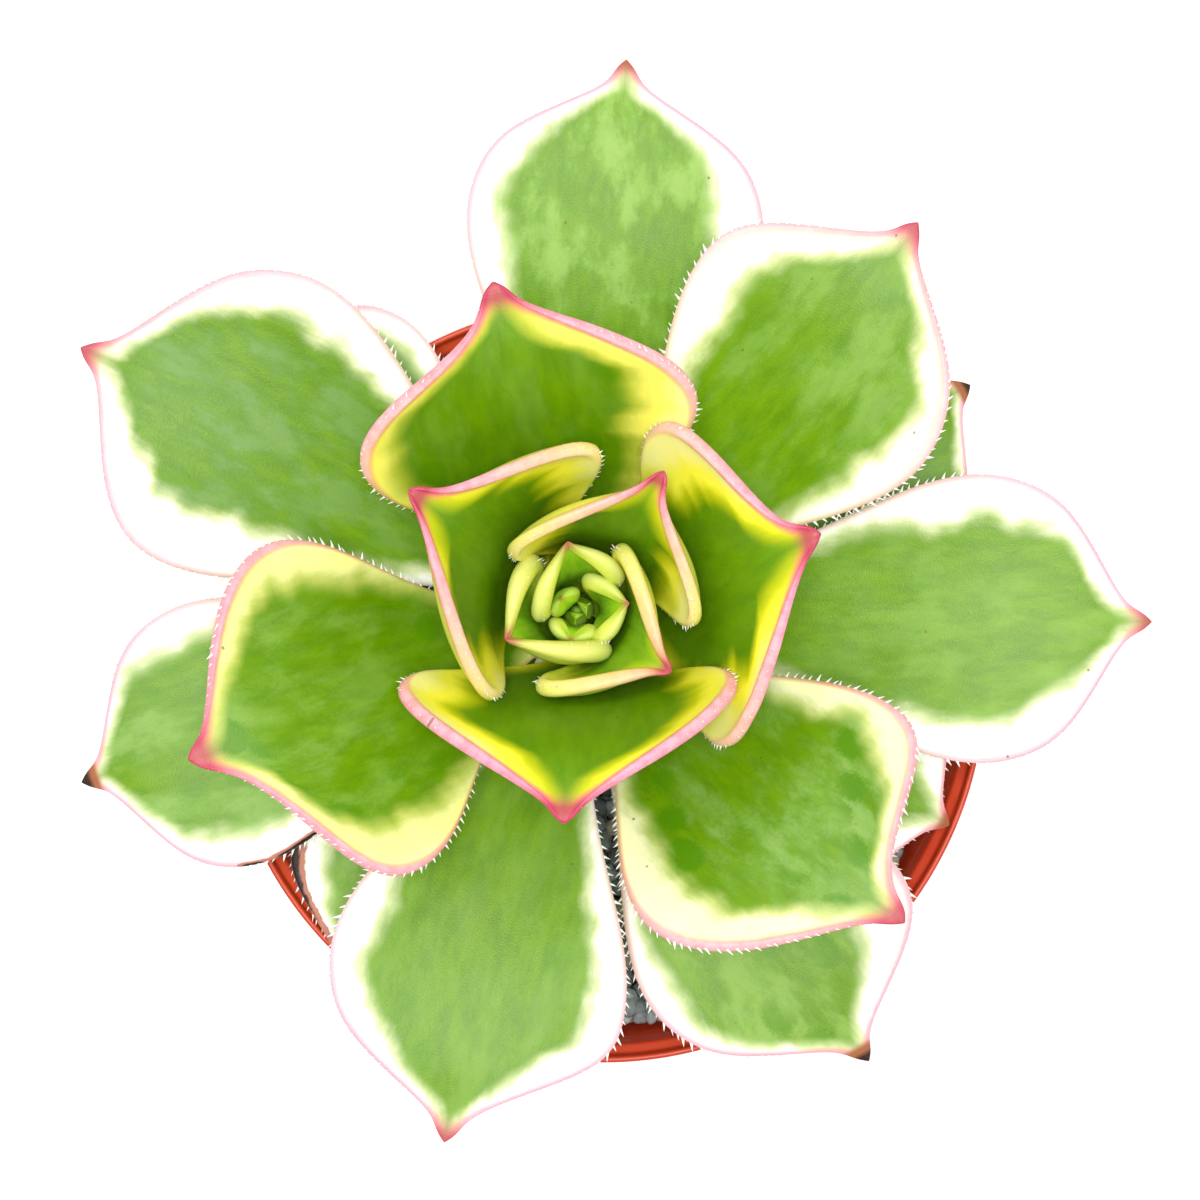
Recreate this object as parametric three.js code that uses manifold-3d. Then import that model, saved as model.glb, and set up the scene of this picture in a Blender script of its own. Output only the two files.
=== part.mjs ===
// Potted rosette succulent with variegated leaves, in a round plastic nursery pot.
// Millimetres, +Z up. The origin is the centre of the pot's base, on the surface it stands on.
import * as THREE from "three";
import { mergeVertices } from "three/addons/utils/BufferGeometryUtils.js";
import Module from "manifold-3d";

const wasm = await Module();
wasm.setup();

// Clearances.
const GAP = 0.3; // between neighbouring pieces
const WALL_GAP = 0.4; // between the pot's wall and its filling

// The pot: a thin tapered wall with a stepped band and a narrow lip at the rim.
const POT_HEIGHT = 80;
const POT_RIM_RADIUS = 45;
const POT_BASE_RADIUS = 31;
const POT_WALL = 1.2;
const POT_FLOOR = 1.5;
const POT_CORNER = 1; // rounding where the wall meets the floor
const COLLAR_HEIGHT = 11.5; // stepped band under the rim
const COLLAR_STEP = 1.9; // how far the band stands out from the wall below it
const SHOULDER = 2.4; // height over which the inside widens into the band
const LIP_WIDTH = 0.7;
const LIP_DEPTH = 1.4;
const LIP_ROUND = 0.3;
const DRAIN_HOLES = 8;
const DRAIN_RADIUS = 3;
const DRAIN_INSET = 10; // from the edge of the base to the ring of holes

// The filling, measured down from the rim.
const MIX_BELOW_RIM = 9;
const GRIT_BELOW_RIM = 4.8;
const GRIT_LUMP = 0.55; // half of the height of the lumps
const GRIT_EDGE_DROP = 0.9; // how far the grit falls off at the wall

// The stem, which stands off the pot's axis.
const STEM_X = -2.9;
const STEM_Y = 8.3;
const STEM_BURIED = 13; // depth of its foot in the mix
const STEM_SHOWN = 7.4; // from the grit to the oldest leaf
const STEM_RADIUS = 5.6;
const STEM_SWELL = 1.2; // extra radius of the woody foot
const APEX_RADIUS = 0.5;

const LEAF_PITCH = 1.0; // rise of the stem from one leaf to the next younger one
const BLADE_THICKNESS = 3.0; // the most that a full-grown blade has at its midrib
const BUD_THICKNESS = 0.45; // of the youngest blades
const THICKENING = 0.07; // thickness that a blade gains with each millimetre of width

// One row for each leaf, the oldest first. Angles in degrees, lengths in millimetres.
//   azimuth: the way the leaf points, from +X
//   reach, lift: distance of the tip from the stem's axis, and its height above the leaf's foot
//   width, bend: the widest width, and how far the blade is rolled up at each margin
// and, where a leaf departs from the usual form:
//   tilt, sway: turn about the midrib, and how far the tip swings to the left
//   footSlope, tipSlope: slope of the midrib at its two ends
//   rolled: 0 for the outline of a spread blade, 1 for that of a rolled one
//   pinch: how far the left and the right flank of the point are drawn in, 0 to 1 each
const LEAVES = [
  { azimuth: 330, reach: 49.5, lift: 2.9, width: 31, bend: 12 },
  { azimuth: 237, reach: 50.5, lift: 3.4, width: 28, bend: 12 },
  { azimuth: 140.5, reach: 49.5, lift: 3.4, width: 26.5, bend: 12 },
  { azimuth: 30, reach: 51.5, lift: 4.9, width: 31, bend: 12 },
  { azimuth: 299.5, reach: 60.5, lift: 5.4, width: 32.2, bend: 13, sway: 3.6, pinch: [0.4, 0] },
  { azimuth: 199, reach: 59, lift: 6.4, width: 30.5, bend: 13 },
  { azimuth: 84, reach: 61, lift: 11.4, width: 33, bend: 15, sway: 1 },
  { azimuth: 359, reach: 63, lift: 11.4, width: 32, bend: 16 },
  { azimuth: 254, reach: 59.5, lift: 12.4, width: 33.3, bend: 17, sway: 2, pinch: [0.6, 0] },
  { azimuth: 149.3, reach: 60.5, lift: 14.4, width: 35.3, bend: 20, sway: 2.8, pinch: [0.3, 0] },
  { azimuth: 45.3, reach: 54.5, lift: 19.4, width: 33, bend: 23, sway: 3.3, pinch: [0.5, 0] },
  { azimuth: 311, reach: 46.5, lift: 23.4, width: 35.6, bend: 27, sway: 4.6, pinch: [1, 0.2] },
  { azimuth: 203.5, reach: 42, lift: 27.4, width: 38, bend: 26, sway: -2, pinch: [1, 0.2] },
  { azimuth: 104, reach: 34.4, lift: 27.9, width: 37, bend: 34, tilt: -2, pinch: [1, 0.5] },
  { azimuth: 9, reach: 25.5, lift: 29, width: 35.5, bend: 34, tilt: 4, sway: 4, pinch: [1, 0.5],
    footSlope: 30 },
  { azimuth: 267, reach: 20.8, lift: 31.4, width: 36.5, bend: 38, tilt: 4, pinch: [0.4, 0.4],
    footSlope: 49 },
  { azimuth: 149, reach: 20.5, lift: 28.4, width: 34, bend: 66, tilt: 8, sway: -2, pinch: [0.6, 0.8] },
  { azimuth: 62, reach: 16.8, lift: 23.9, width: 27, bend: 75, tilt: 7, sway: -1.2, pinch: [1, 1],
    footSlope: 36 },
  { azimuth: 328, reach: 11.5, lift: 18.9, width: 23.5, bend: 81, tilt: 2, pinch: [0.8, 0.8],
    footSlope: 49 },
  { azimuth: 214, reach: 7.6, lift: 14.8, width: 19, bend: 96, tilt: 5, sway: -1.8, rolled: 0.2,
    footSlope: 54, tipSlope: 55 },
  { azimuth: 110, reach: 7.2, lift: 13.2, width: 13.5, bend: 88, tilt: 5, sway: -1.7, rolled: 0.3,
    footSlope: 62, tipSlope: 44 },
  { azimuth: 10, reach: 5.6, lift: 10.8, width: 9, bend: 80, rolled: 0.3, footSlope: 66, tipSlope: 45 },
  { azimuth: 258, reach: 3.1, lift: 8.4, width: 5.8, bend: 72, rolled: 0.3, footSlope: 74, tipSlope: 72 },
  { azimuth: 138, reach: 2.2, lift: 7, width: 3.5, bend: 46, tilt: -4, rolled: 0.3, footSlope: 76,
    tipSlope: 72 },
  { azimuth: 33, reach: 1.4, lift: 5.4, width: 2.4, bend: 46, rolled: 0.3, footSlope: 86, tipSlope: 80 },
  { azimuth: 262, reach: 0.8, lift: 3.6, width: 2, bend: 50, rolled: 0.3, footSlope: 86, tipSlope: 80 },
];

// Half-width along a blade, as a share of the widest, for a spread blade and for a rolled one: a
// narrow foot, a broad shoulder near two thirds of the length, and sides that curve in to a fine point.
// The last number is the share of it that a full pinch takes away.
const OUTLINE = [
  [0, 0.25, 0.25, 0],
  [0.1, 0.31, 0.32, 0],
  [0.22, 0.4, 0.45, 0],
  [0.35, 0.55, 0.64, 0],
  [0.47, 0.76, 0.83, 0],
  [0.58, 0.93, 0.96, 0],
  [0.68, 1, 1, 0],
  [0.77, 0.94, 0.84, 0.06],
  [0.85, 0.72, 0.57, 0.36],
  [0.91, 0.37, 0.28, 0.44],
  [0.955, 0.125, 0.105, 0.12],
  [0.985, 0.05, 0.045, 0],
];
const SPREAD_BEND = 15;
const ROLLED_BEND = 50;
const FOOT_SHARE = 0.8; // half-width of a blade's foot, as a share of the stem's radius there
const FOOT_LENGTH = 0.3; // share of the blade over which it widens from its foot
// Places across a blade, as shares of the half-width, and the share of the thickness there.
const ACROSS = [
  [0.95, 0.5],
  [0.55, 0.86],
  [0, 1],
  [-0.55, 0.86],
  [-0.95, 0.5],
];

// Worked-out sizes.
const MIX_TOP = POT_HEIGHT - MIX_BELOW_RIM;
const GRIT_TOP = POT_HEIGHT - GRIT_BELOW_RIM;
const COLLAR_FOOT = POT_HEIGHT - COLLAR_HEIGHT;
const STEM_FOOT = MIX_TOP - STEM_BURIED;
const FIRST_LEAF_Z = GRIT_TOP + STEM_SHOWN;
const APEX_Z = FIRST_LEAF_Z + LEAF_PITCH * LEAVES.length;
const WALL_SLOPE = (POT_RIM_RADIUS - LIP_WIDTH - COLLAR_STEP - POT_BASE_RADIUS) / POT_HEIGHT;

function wallRadius(z) {
  return POT_BASE_RADIUS + WALL_SLOPE * z;
}

function innerRadius(z) {
  const step = z > COLLAR_FOOT ? COLLAR_STEP : 0;
  return wallRadius(z) + step - POT_WALL;
}

function footZ(index) {
  return FIRST_LEAF_Z + LEAF_PITCH * index;
}

function stemRadius(z) {
  const up = THREE.MathUtils.clamp((z - FIRST_LEAF_Z) / (APEX_Z - FIRST_LEAF_Z), 0, 1);
  return THREE.MathUtils.lerp(STEM_RADIUS, APEX_RADIUS, up ** 0.85);
}

// A solid of revolution about +Z from [radius, z] points that run up the outside.
function turned(profile, segments) {
  const points = profile.map(([r, z]) => new THREE.Vector2(r, z));
  return new THREE.LatheGeometry(points, segments).rotateX(Math.PI / 2);
}

// An upright round bar about (x, y), from z = low to z = high.
function bar(radius, x, y, low, high, segments) {
  const geometry = new THREE.CylinderGeometry(radius, radius, high - low, segments);
  return toSolid(geometry.rotateX(Math.PI / 2).translate(x, y, (low + high) / 2));
}

function toSolid(geometry) {
  const bare = geometry.clone();
  bare.deleteAttribute("normal");
  bare.deleteAttribute("uv");
  const merged = mergeVertices(bare, 1e-4);
  return new wasm.Manifold(
    new wasm.Mesh({
      numProp: 3,
      vertProperties: new Float32Array(merged.attributes.position.array),
      triVerts: new Uint32Array(merged.index.array),
    }),
  );
}

function toGeometry(solid) {
  const mesh = solid.getMesh();
  const geometry = new THREE.BufferGeometry();
  geometry.setAttribute("position", new THREE.BufferAttribute(mesh.vertProperties, 3));
  geometry.setIndex(new THREE.BufferAttribute(mesh.triVerts, 1));
  geometry.computeVertexNormals();
  return geometry;
}

function potPlastic() {
  return new THREE.MeshStandardMaterial({ color: 0xb2492f, roughness: 0.55, metalness: 0 });
}

function pottingMix() {
  return new THREE.MeshStandardMaterial({ color: 0x33281f, roughness: 0.95, metalness: 0 });
}

function grit() {
  return new THREE.MeshStandardMaterial({ color: 0x8d8f92, roughness: 0.9, metalness: 0 });
}

function stemSkin() {
  return new THREE.MeshStandardMaterial({ color: 0x7d7a52, roughness: 0.8, metalness: 0 });
}

function leafSkin() {
  return new THREE.MeshStandardMaterial({ color: 0x7fa83c, roughness: 0.45, metalness: 0 });
}

function pot() {
  const lipFoot = POT_HEIGHT - LIP_DEPTH;
  const lipInside = POT_RIM_RADIUS - LIP_WIDTH;
  const outside = [
    [0, 0],
    [POT_BASE_RADIUS - POT_CORNER, 0],
    [POT_BASE_RADIUS, POT_CORNER],
    [wallRadius(COLLAR_FOOT - 0.6), COLLAR_FOOT - 0.6],
    [wallRadius(COLLAR_FOOT) + COLLAR_STEP, COLLAR_FOOT],
    [wallRadius(lipFoot) + COLLAR_STEP, lipFoot],
    [POT_RIM_RADIUS, lipFoot + LIP_ROUND],
    [POT_RIM_RADIUS, POT_HEIGHT - LIP_ROUND],
    [POT_RIM_RADIUS - LIP_ROUND, POT_HEIGHT],
  ];
  const inside = [
    [lipInside, POT_HEIGHT],
    [lipInside - 0.1, lipFoot],
    [innerRadius(lipFoot - 0.4), lipFoot - 0.4],
    [innerRadius(COLLAR_FOOT + 0.1), COLLAR_FOOT + 0.1],
    [innerRadius(COLLAR_FOOT - SHOULDER), COLLAR_FOOT - SHOULDER],
    [innerRadius(POT_FLOOR + POT_CORNER), POT_FLOOR + POT_CORNER],
    [innerRadius(POT_FLOOR) - POT_CORNER, POT_FLOOR],
    [0, POT_FLOOR],
  ];
  const ring = POT_BASE_RADIUS - DRAIN_INSET;
  let shell = toSolid(turned([...outside, ...inside], 96));
  for (let i = 0; i < DRAIN_HOLES; i += 1) {
    const turn = (i / DRAIN_HOLES) * 2 * Math.PI;
    const x = ring * Math.cos(turn);
    const y = ring * Math.sin(turn);
    shell = shell.subtract(bar(DRAIN_RADIUS, x, y, -1, POT_FLOOR + 1, 20));
  }
  return toGeometry(shell);
}

// What the stem needs cut out of a layer, from z = low to z = high.
function stemHole(low, high) {
  return bar(STEM_RADIUS + STEM_SWELL + GAP, STEM_X, STEM_Y, low, high, 28);
}

function pottingMixBlock() {
  const low = POT_FLOOR + GAP;
  const shoulderFoot = COLLAR_FOOT - SHOULDER;
  const profile = [
    [0, low],
    [innerRadius(POT_FLOOR) - POT_CORNER - WALL_GAP, low],
    [innerRadius(POT_FLOOR + 1.2) - WALL_GAP, POT_FLOOR + 1.2],
    [innerRadius(shoulderFoot) - WALL_GAP, shoulderFoot],
    [innerRadius(MIX_TOP) - 2 * WALL_GAP, MIX_TOP],
    [0, MIX_TOP],
  ];
  const block = toSolid(turned(profile, 72));
  return toGeometry(block.subtract(stemHole(STEM_FOOT - GAP, MIX_TOP + 1)));
}

// Height of the lumpy top of the grit.
function gritHeight(x, y) {
  const grains = Math.sin(1.35 * x + 0.4 * y) * Math.cos(1.1 * y - 0.3 * x);
  const heaps = Math.sin(0.55 * x - 0.8 * y + 1.3);
  return GRIT_TOP + GRIT_LUMP * (0.65 * grains + 0.35 * heaps);
}

function gritLayer() {
  const rings = 15;
  const low = MIX_TOP + GAP;
  const edgeZ = GRIT_TOP - GRIT_EDGE_DROP;
  const edge = innerRadius(edgeZ) - WALL_GAP;
  const profile = [
    [0, low],
    [innerRadius(low) - WALL_GAP, low],
  ];
  for (let ring = rings; ring >= 0; ring -= 1) {
    profile.push([(edge * ring) / rings, edgeZ]);
  }
  const layer = turned(profile, 64);
  const spots = layer.attributes.position;
  for (let i = 0; i < spots.count; i += 1) {
    const x = spots.getX(i);
    const y = spots.getY(i);
    const onTop = spots.getZ(i) > edgeZ - 0.01 && Math.hypot(x, y) < edge - 0.01;
    if (onTop) {
      spots.setZ(i, gritHeight(x, y));
    }
  }
  return toGeometry(toSolid(layer).subtract(stemHole(low - 1, GRIT_TOP + 3)));
}

function stem() {
  const thick = STEM_RADIUS + STEM_SWELL;
  const profile = [
    [0, STEM_FOOT],
    [2.5, STEM_FOOT],
    [STEM_RADIUS, STEM_FOOT + 6],
    [thick, MIX_TOP - 3],
    [thick, GRIT_TOP],
    [STEM_RADIUS, FIRST_LEAF_Z - 3],
  ];
  const steps = 12;
  for (let i = 0; i <= steps; i += 1) {
    const z = THREE.MathUtils.lerp(FIRST_LEAF_Z, APEX_Z, i / steps);
    profile.push([stemRadius(z), z]);
  }
  profile.push([0, APEX_Z + 0.4]);
  return turned(profile, 28).translate(STEM_X, STEM_Y, 0);
}

function bladeThickness(leaf, along) {
  const full = Math.min(BLADE_THICKNESS, BUD_THICKNESS + THICKENING * leaf.width);
  const foot = THREE.MathUtils.lerp(0.78, 1, Math.min(1, along / 0.4));
  const point = 1 - 0.62 * THREE.MathUtils.clamp((along - 0.55) / 0.45, 0, 1) ** 1.6;
  return full * foot * point;
}

// The midrib in the upright plane through the stem, as [distance from the axis, z].
function midrib(leaf, index) {
  const start = new THREE.Vector2(stemRadius(footZ(index)) + GAP, footZ(index));
  const end = new THREE.Vector2(leaf.reach, footZ(index) + leaf.lift);
  const chord = end.clone().sub(start);
  const slope = THREE.MathUtils.radToDeg(Math.atan2(chord.y, chord.x));
  const out = THREE.MathUtils.degToRad(leaf.footSlope ?? slope * 0.62 + 4);
  const over = THREE.MathUtils.degToRad(leaf.tipSlope ?? slope * 0.45 - 6);
  start.x += (bladeThickness(leaf, 0) / 2) * Math.sin(out) + 0.1;
  const handle = 0.36 * chord.length();
  const a = new THREE.Vector2(Math.cos(out), Math.sin(out)).multiplyScalar(handle).add(start);
  const b = new THREE.Vector2(Math.cos(over), Math.sin(over)).multiplyScalar(-handle).add(end);
  return new THREE.CubicBezierCurve(start, a, b, end);
}

// A leaf's own directions (out from the stem, to its left, up) and the curve of its midrib.
function leafFrame(leaf, index) {
  const turn = THREE.MathUtils.degToRad(leaf.azimuth);
  return {
    out: new THREE.Vector3(Math.cos(turn), Math.sin(turn), 0),
    left: new THREE.Vector3(-Math.sin(turn), Math.cos(turn), 0),
    up: new THREE.Vector3(0, 0, 1),
    curve: midrib(leaf, index),
    footHalf: FOOT_SHARE * stemRadius(footZ(index)),
  };
}

function onMidrib(leaf, frame, along) {
  const p = frame.curve.getPointAt(along);
  return new THREE.Vector3(STEM_X, STEM_Y, 0)
    .addScaledVector(frame.out, p.x)
    .addScaledVector(frame.up, p.y)
    .addScaledVector(frame.left, (leaf.sway ?? 0) * along ** 3);
}

// The blade's closed section at one place along it: margin, upper face, margin, lower face. The
// section bends round an arc, so that the margins stand above the midrib.
function section(leaf, frame, along, leftShare, rightShare) {
  const slope = frame.curve.getTangentAt(along);
  const normal = frame.out.clone().multiplyScalar(-slope.y).addScaledVector(frame.up, slope.x);
  const broad = THREE.MathUtils.smoothstep(along, 0, FOOT_LENGTH);
  const [left, right] = [leftShare, rightShare].map((share) =>
    THREE.MathUtils.lerp(frame.footHalf, (leaf.width / 2) * share, broad),
  );
  const roll = THREE.MathUtils.degToRad(leaf.bend) * (0.45 + 0.55 * Math.min(1, along / 0.55));
  const tilt = THREE.MathUtils.degToRad(leaf.tilt ?? 0) * Math.min(1, along / 0.5);
  const across = frame.left.clone().multiplyScalar(Math.cos(tilt));
  across.addScaledVector(normal, Math.sin(tilt));
  const facing = normal.clone().multiplyScalar(Math.cos(tilt));
  facing.addScaledVector(frame.left, -Math.sin(tilt));
  const thick = bladeThickness(leaf, along) * Math.min(1, 0.42 + 1.3 * Math.min(leftShare, rightShare));
  const centre = onMidrib(leaf, frame, along);

  function point(u, rise) {
    const arcRadius = (u > 0 ? left : right) / roll;
    const reach = arcRadius - rise;
    return centre
      .clone()
      .addScaledVector(across, Math.sin(roll * u) * reach)
      .addScaledVector(facing, arcRadius - Math.cos(roll * u) * reach);
  }
  const upper = ACROSS.map(([u, deep]) => point(u, (thick / 2) * deep));
  const lower = ACROSS.toReversed().map(([u, deep]) => point(u, (-thick / 2) * deep));
  return [point(1, 0), ...upper, point(-1, 0), ...lower];
}

// A closed skin over rings of points, drawn together to one point at each end.
function skin(first, rings, last) {
  const size = rings[0].length;
  const points = [first, ...rings.flat(), last];
  const end = points.length - 1;
  const faces = [];
  for (let k = 0; k < size; k += 1) {
    const next = (k + 1) % size;
    faces.push(0, 1 + next, 1 + k);
    for (let ring = 0; ring < rings.length - 1; ring += 1) {
      const a = 1 + ring * size;
      const b = a + size;
      faces.push(a + k, a + next, b + next, a + k, b + next, b + k);
    }
    faces.push(end - size + k, end - size + next, end);
  }
  const geometry = new THREE.BufferGeometry().setFromPoints(points);
  geometry.setIndex(faces);
  geometry.computeVertexNormals();
  return geometry;
}

function leafGeometry(leaf, index) {
  const frame = leafFrame(leaf, index);
  const rolled = leaf.rolled ?? THREE.MathUtils.smoothstep(leaf.bend, SPREAD_BEND, ROLLED_BEND);
  const rings = OUTLINE.map(([along, spread, narrow, drawnIn]) => {
    const full = THREE.MathUtils.lerp(spread, narrow, rolled);
    const [left, right] = (leaf.pinch ?? [0, 0]).map((pinch) => full * (1 - drawnIn * pinch));
    return section(leaf, frame, along, left, right);
  });
  return skin(onMidrib(leaf, frame, 0), rings, onMidrib(leaf, frame, 1));
}

const plant = new THREE.Group();

function add(name, geometry, material) {
  const mesh = new THREE.Mesh(geometry, material);
  mesh.name = name;
  plant.add(mesh);
}

add("pot", pot(), potPlastic());
add("potting_mix", pottingMixBlock(), pottingMix());
add("grit_topdressing", gritLayer(), grit());
add("stem", stem(), stemSkin());
LEAVES.forEach((leaf, index) => {
  const number = String(index + 1).padStart(2, "0");
  add(`leaf_${number}`, leafGeometry(leaf, index), leafSkin());
});

export default plant;
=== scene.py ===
import math
import random

import bpy
import numpy as np
from mathutils import Matrix, Vector, noise


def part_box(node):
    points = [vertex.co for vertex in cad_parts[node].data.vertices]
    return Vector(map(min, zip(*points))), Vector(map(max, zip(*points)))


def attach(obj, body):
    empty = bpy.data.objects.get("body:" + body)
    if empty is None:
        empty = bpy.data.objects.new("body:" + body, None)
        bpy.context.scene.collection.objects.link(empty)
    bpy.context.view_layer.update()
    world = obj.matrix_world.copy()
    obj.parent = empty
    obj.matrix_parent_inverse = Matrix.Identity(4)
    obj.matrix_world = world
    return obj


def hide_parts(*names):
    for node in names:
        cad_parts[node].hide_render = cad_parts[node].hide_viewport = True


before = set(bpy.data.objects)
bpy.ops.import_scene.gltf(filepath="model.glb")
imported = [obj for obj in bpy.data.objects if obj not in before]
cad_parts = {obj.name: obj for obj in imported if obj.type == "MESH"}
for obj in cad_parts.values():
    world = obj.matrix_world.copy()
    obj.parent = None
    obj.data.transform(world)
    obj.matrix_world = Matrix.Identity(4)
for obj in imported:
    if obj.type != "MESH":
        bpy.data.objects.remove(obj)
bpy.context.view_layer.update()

MM = 0.001

# The camera looks straight down on the rosette.
CAMERA_AT = (-0.42 * MM, 9.59 * MM, 380 * MM)
CAMERA_LENS = 76.41
SENSOR = 36.0

# ---- leaves: numbers

RING = 12  # corners round a CAD blade
SPREAD = (1.0, 0.55, 0.0, -0.55, -1.0)  # places across it that the smooth blade runs through
STATIONS_PER_MM = 1.5
FEWEST_STATIONS = 30
MOST_STATIONS = 92
FACE_POINTS = 37  # across one face of a blade
LAST_STATION = 0.9985
FOOT_REACH = 0.9  # how far a blade's foot runs on to the stem, in millimetres
EDGE_SHARE = 0.52  # roundness of the margin, as a share of half of the thickness
RIPPLE = 0.16  # unevenness of the faces, in millimetres
# Roundness of the margins of the inner leaves, which are thick and soft, as a radius in millimetres.
LIPS = {
    13: 0.22, 14: 0.28, 15: 0.3, 16: 0.32, 17: 0.36, 18: 0.4, 19: 0.74, 20: 1.1, 21: 0.95, 22: 0.85, 23: 0.6,
    24: 0.42, 25: 0.3, 26: 0.26,
}
# Extra half-thickness of the youngest blades, which are plump and fill the heart of the rosette.
PLUMP = {20: 0.3, 21: 0.4, 22: 0.55, 23: 0.9, 24: 1.0, 25: 0.95, 26: 0.9}
# The three youngest are drawn this much larger than in the CAD model, from the foot.
GROWN = {24: 1.12, 25: 1.4, 26: 1.85}

TOOTH_PITCH = 1.0  # millimetres along the margin
TOOTH_LENGTH = 0.92
TOOTH_SIDES = 5
TOOTH_LEAN = (22, 52)  # degrees towards the tip of the leaf
TOOTH_SET = 0.16  # how far its foot is sunk into the margin, in millimetres
TEETH_FROM = 0.14  # as shares of the margin's length
TEETH_TO = 0.965

# The pale margin's width at the blade's shoulders, left and right of the midrib, in millimetres.
# Left is the side that lies anticlockwise.
PALE = {
    1: (10.0, 8.5), 2: (4.4, 4.4), 3: (2.6, 3.0), 4: (2.8, 3.0), 5: (5.4, 3.0), 6: (3.6, 3.2),
    7: (4.0, 5.0), 8: (4.6, 4.4), 9: (4.2, 4.0), 10: (6.6, 4.8), 11: (5.4, 4.4), 12: (4.4, 5.4),
    13: (4.8, 4.2), 14: (3.8, 7.0), 15: (8.0, 8.4), 16: (5.6, 7.2), 17: (7.0, 7.6), 18: (6.6, 7.4),
    19: (4.6, 6.0), 20: (4.6, 4.8), 21: (3.2, 3.2), 22: (2.2, 2.2), 23: (1.6, 1.6),
}
YOUNGEST_PALE = (0.45, 0.45)
# How dark and dry the tip is: the oldest leaves have a brown one.
DRY_TIP = {1: 0.5, 2: 0.5, 3: 0.5, 4: 0.8, 5: 0.86, 6: 0.9, 7: 0.35, 8: 0.3, 9: 0.2}
# Waxy bloom on the upper face.
BLOOM = {
    1: 0.4, 2: 0.5, 3: 0.8, 4: 0.4, 5: 0.6, 6: 0.75, 7: 0.85, 8: 0.38, 9: 0.3, 10: 0.9, 11: 0.4,
    12: 0.7, 13: 0.36, 14: 0.14, 15: 0.04, 16: 0.05, 17: 0.04, 22: 0.15, 23: 0.2, 24: 0.2, 25: 0.2,
    26: 0.2,
}
# How blue-green the bloom is.
COOL = {3: 0.5, 6: 0.4, 9: 0.3, 10: 1.0, 12: 0.4}
# Dead patches on a margin: side (+1 left), middle and half-length along it, depth in millimetres.
SCORCH = {
    2: [(-1, 0.78, 0.16, 3.0)],
    6: [(1, 0.62, 0.07, 0.9), (1, 0.72, 0.03, 0.6)],
}
# How rosy the margin is round the lobes and near the tip.
LOBE_ROSE = {12: 0.78, 13: 0.8, 14: 0.66, 15: 0.5, 16: 0.74, 17: 0.1, 18: 0.12, 19: 0.03}
TIP_ROSE = {
    12: 0.8, 13: 0.9, 14: 0.92, 15: 0.95, 16: 0.95, 17: 0.95, 18: 0.9, 19: 0.6, 20: 0.1, 21: 0.05, 22: 0.05,
    23: 0.02, 24: 0.0, 25: 0.0, 26: 0.0,
}
# How strong the dark spots just inside the green part's edge are.
SPOTS = {5: 0.6, 12: 1.0, 13: 0.8, 14: 0.6, 16: 0.3}
FEW_SPOTS = 0.15
LEAF_NODES = sorted(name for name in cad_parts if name.startswith("leaf_"))

# ---- pot and filling: numbers

POT_BASE_RADIUS = 31 * MM
POT_WALL = 1.2 * MM
POT_FLOOR = 1.5 * MM
POT_FOOT_RISE = 0.5 * MM  # how far the middle of the base stands clear of the table
FOOT_RING = 7 * MM  # width of the ring that the pot stands on
COLLAR_HEIGHT = 11.5 * MM
COLLAR_STEP = 1.9 * MM
COLLAR_BEAD = 0.14 * MM  # how far the fine bead round the collar stands out
SHOULDER = 2.4 * MM
LIP_WIDTH = 0.7 * MM
LIP_DEPTH = 1.4 * MM
DRAIN_HOLES = 8
DRAIN_RADIUS = 3 * MM
DRAIN_INSET = 10 * MM
MOULDED_RADIUS = 0.32 * MM  # rounding of every moulded corner
POT_SIDES = 224
DRAIN_SIDES = 32
SHARP_FROM = 42  # degrees

MIX_BASE_RADIUS = 28.2 * MM
MIX_SIDE_RADIUS = 39.2 * MM
MIX_SIDE_TOP = 65 * MM
MIX_SIDES = 168

GRIT_SEED = 41
GRAIN_KINDS = 10
# Each course of grit: height above the layer's foot or below its top, pitch, fineness and seed.
LOWER_COURSE = (0.8 * MM, 2.15 * MM, 1, 900)
UPPER_COURSE = (1.35 * MM, 2.25 * MM, 2, 1400)
ROW_SHARE = 0.87  # distance between rows, as a share of the pitch
SCATTER = 0.27  # how far a grain strays from its place, as a share of the pitch

STEM_SIDES = 72
STEM_STEPS = 90
STEM_SLIM = 0.83  # the leaf-bearing part's radius, as a share of the widest

# ---- stage: numbers

FLOOR_REACH = 1.6
FLOOR_CELLS = 24
FLOOR_DROP = 0.02 * MM
SKY_STRENGTH = 0.46
# Name, place, size and power of each soft lamp.
LAMPS = (
    ("top", (0.0, 0.02, 1.0), 0.26, 8.0),
    ("key", (-0.35, 0.45, 0.95), 0.5, 3.4),
    ("fill", (0.6, -0.3, 0.8), 0.7, 1.4),
)
LAMPS_AIM = (0, 0, 0.09)


# ---- materials


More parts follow.
